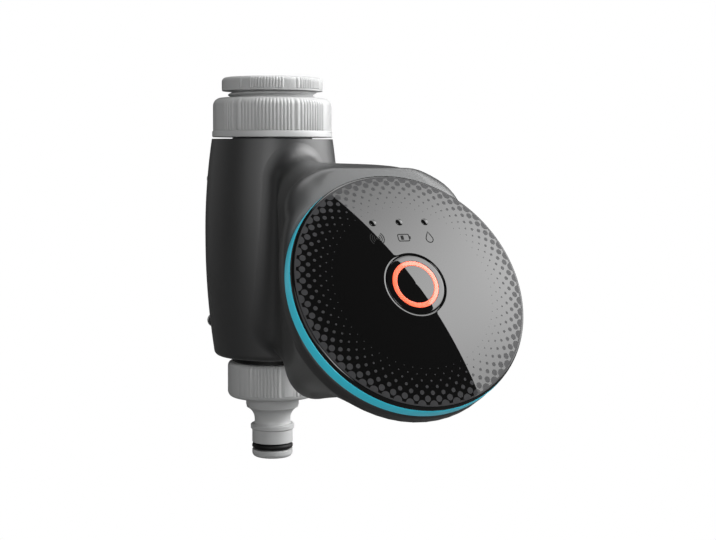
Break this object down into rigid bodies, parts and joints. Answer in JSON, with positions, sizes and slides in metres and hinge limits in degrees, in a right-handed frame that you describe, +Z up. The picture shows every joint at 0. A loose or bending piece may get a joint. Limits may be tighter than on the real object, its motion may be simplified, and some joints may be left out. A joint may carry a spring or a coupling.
{
  "type": "smart water timer",
  "caption": "Tap-mounted water timer: threaded inlet with union nut, bellied valve barrel, tilted round control unit with a push button and ring light, and a quick-connect outlet.",
  "frame": {"origin": "middle of the inlet adapter's top rim, on the barrel's axis", "axes": "+Z up the barrel's axis to the tap, -Y to the front where the control unit is, +X to the right seen from the front"},
  "size_m": [0.0802, 0.1548, 0.1436],
  "materials": {
    "light_grey": "satin",
    "outlet_grey": "satin",
    "anthracite": "fine matte",
    "valve_plastic": "satin",
    "blue": "gloss",
    "black_gloss": "high gloss",
    "orange": "satin",
    "clear": "clear",
    "rubber": "matte",
    "steel": "plain",
    "copper": "enamelled wire",
    "brass_pin": "plain",
    "board": "coated",
    "cell": "sleeved cell, near a real cell's density"
  },
  "bodies": {
    "housing": {"housing": "anthracite", "rear_cover": "anthracite", "rear_screws": "steel", "valve_body": "valve_plastic", "inlet_seal": "rubber", "inlet_strainer": "valve_plastic", "union_nut_clip": "steel", "diaphragm": "rubber", "valve_bonnet": "valve_plastic", "bonnet_screws": "steel", "coil_bobbin": "valve_plastic", "coil_winding": "copper", "coil_yoke": "steel", "pole_core": "steel", "socket_block": "valve_plastic", "coil_leads": "copper", "outlet_gasket": "rubber"},
    "union_nut": {"union_nut": "light_grey"},
    "adapter": {"inlet_adapter": "light_grey", "adapter_seal": "rubber"},
    "control_unit": {"unit_case": "anthracite", "battery_seal": "rubber", "battery_cover": "anthracite", "battery_1": "cell", "battery_2": "cell", "battery_3": "cell", "battery_contacts": "steel", "accent_ring": "blue", "face_panel": "black_gloss", "status_leds": "clear", "light_pipes": "clear", "circuit_board": "board", "board_screws": "steel", "radio_module": "steel", "plug_pins": "brass_pin", "switch_body": "valve_plastic", "button_pad": "rubber"},
    "button": {"button_cap": "black_gloss", "light_ring": "orange", "switch_stem": "valve_plastic"},
    "plunger": {"plunger": "steel", "plunger_spring": "steel"},
    "diaphragm_plate": {"diaphragm_plate": "valve_plastic", "diaphragm_spring": "steel"},
    "outlet_slider": {"outlet_washer": "rubber"},
    "outlet_nut": {"outlet_connector": "outlet_grey", "nipple_o_ring": "rubber"}
  },
  "joints": [
    {"name": "union_nut_turn", "type": "hinge", "parent": "housing", "child": "union_nut", "pos_m": [0, 0, -0.015], "axis": [0, 0, 1], "range_deg": [-734, 313]},
    {"name": "adapter_travel", "type": "slide", "parent": "housing", "child": "adapter", "axis": [0, 0, 1], "range_m": [-0.002, 0.0047]},
    {"name": "control_unit_pull", "type": "slide", "parent": "housing", "child": "control_unit", "axis": [0, -0.8755, 0.4833], "range_m": [0, 0.045]},
    {"name": "button_press", "type": "slide", "parent": "control_unit", "child": "button", "axis": [0, 0.8755, -0.4833], "range_m": [0, 0.0007], "stiffness_N_per_m": 1500, "springref_m": -0.001},
    {"name": "plunger_lift", "type": "slide", "parent": "housing", "child": "plunger", "axis": [0, -1, 0], "range_m": [0, 0.002], "stiffness_N_per_m": 150, "springref_m": -0.004},
    {"name": "plate_lift", "type": "slide", "parent": "housing", "child": "diaphragm_plate", "axis": [0, -1, 0], "range_m": [0, 0.002]},
    {"name": "outlet_travel", "type": "slide", "parent": "housing", "child": "outlet_slider", "axis": [0, 0, -1], "range_m": [0, 0.0085]},
    {"name": "outlet_turn", "type": "hinge", "parent": "outlet_slider", "child": "outlet_nut", "pos_m": [0, 0, -0.113], "axis": [0, 0, 1], "range_deg": [-1688, 0]}
  ],
  "couplings": [
    {"joint": "union_nut_turn", "follows": "adapter_travel", "rad_per_m": -2721.2},
    {"joint": "outlet_turn", "follows": "outlet_travel", "rad_per_m": -3463.7},
    {"joint": "plate_lift", "follows": "plunger_lift", "ratio": 1}
  ]
}
